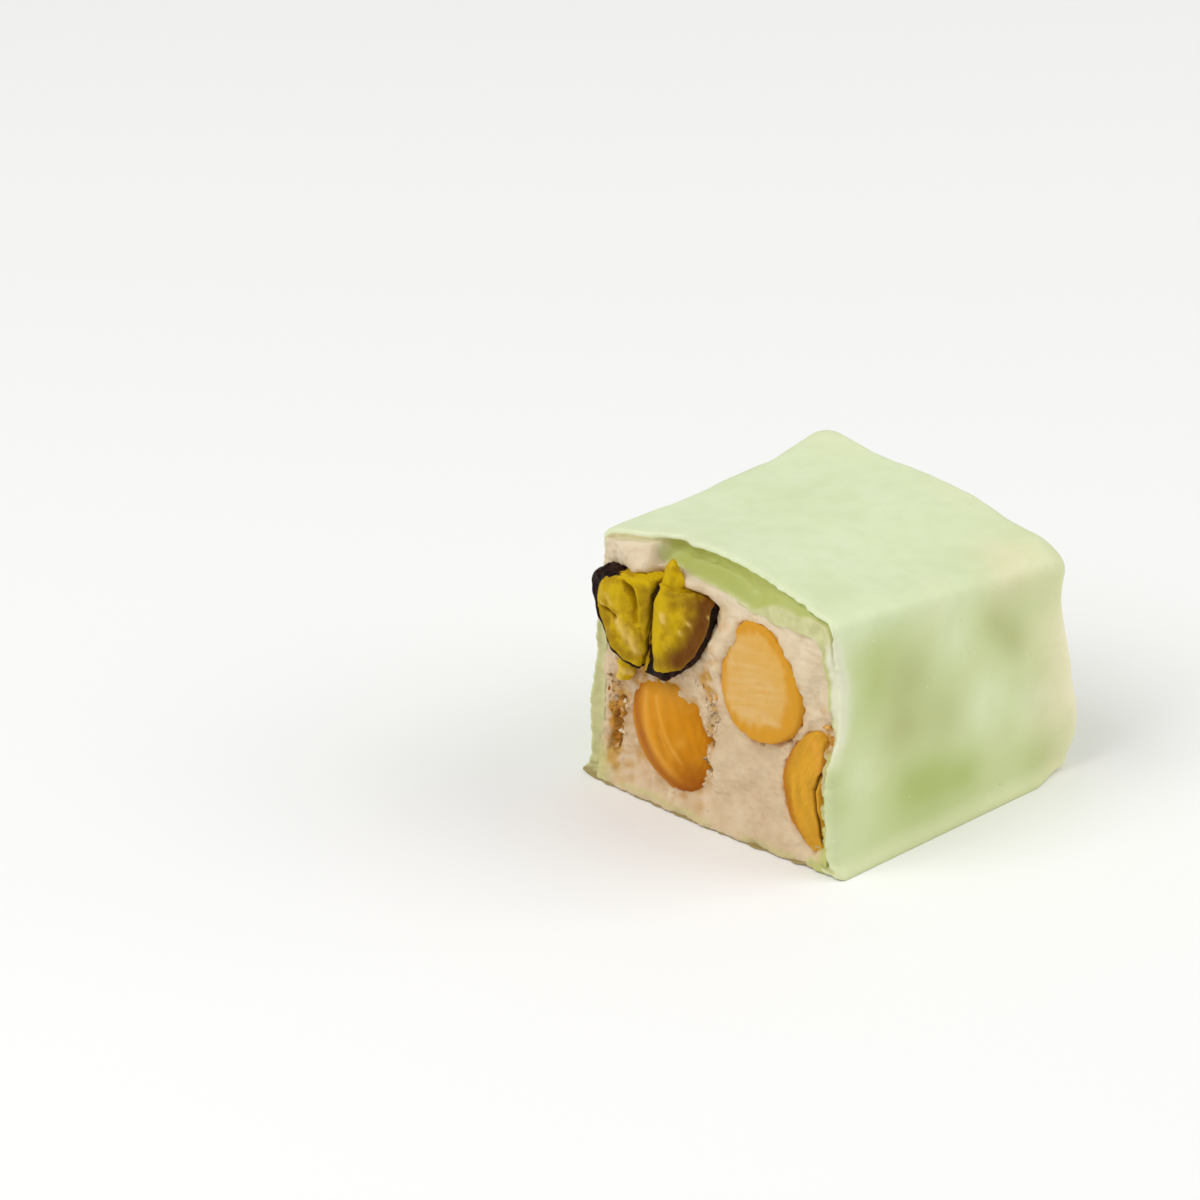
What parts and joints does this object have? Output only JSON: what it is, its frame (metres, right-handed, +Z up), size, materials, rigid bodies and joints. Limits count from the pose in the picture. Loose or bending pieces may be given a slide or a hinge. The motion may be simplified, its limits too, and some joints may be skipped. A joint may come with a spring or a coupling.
{
  "type": "nougat bar",
  "caption": "Half of a coated nougat bar: pale green coating over white nougat, broken across to show almonds and a split pistachio kernel.",
  "frame": {"origin": "the middle of the flat base, which the bar stands on", "axes": "+X along the bar from the broken face at -X to the closed end, +Y across it, +Z up"},
  "size_m": [0.025, 0.0232, 0.0187],
  "materials": {
    "coating": "smooth pale green confectionery coating with a waxy satin sheen",
    "nougat": "soft matt white nougat, finely crumbly where it broke",
    "pistachio": "satin yellow-green kernel with a dark purple-brown skin",
    "almond": "roasted golden almond, slightly glossy",
    "cut_almond": "pale satin almond flesh inside a golden rim"
  },
  "bodies": {
    "root": {"coating": "coating", "nougat": "nougat", "pistachio_left": "pistachio", "pistachio_right": "pistachio", "pistachio_chip": "pistachio", "almond_lower": "almond", "almond_upper": "cut_almond", "almond_edge": "almond", "almond_sliver": "almond"}
  },
  "joints": []
}
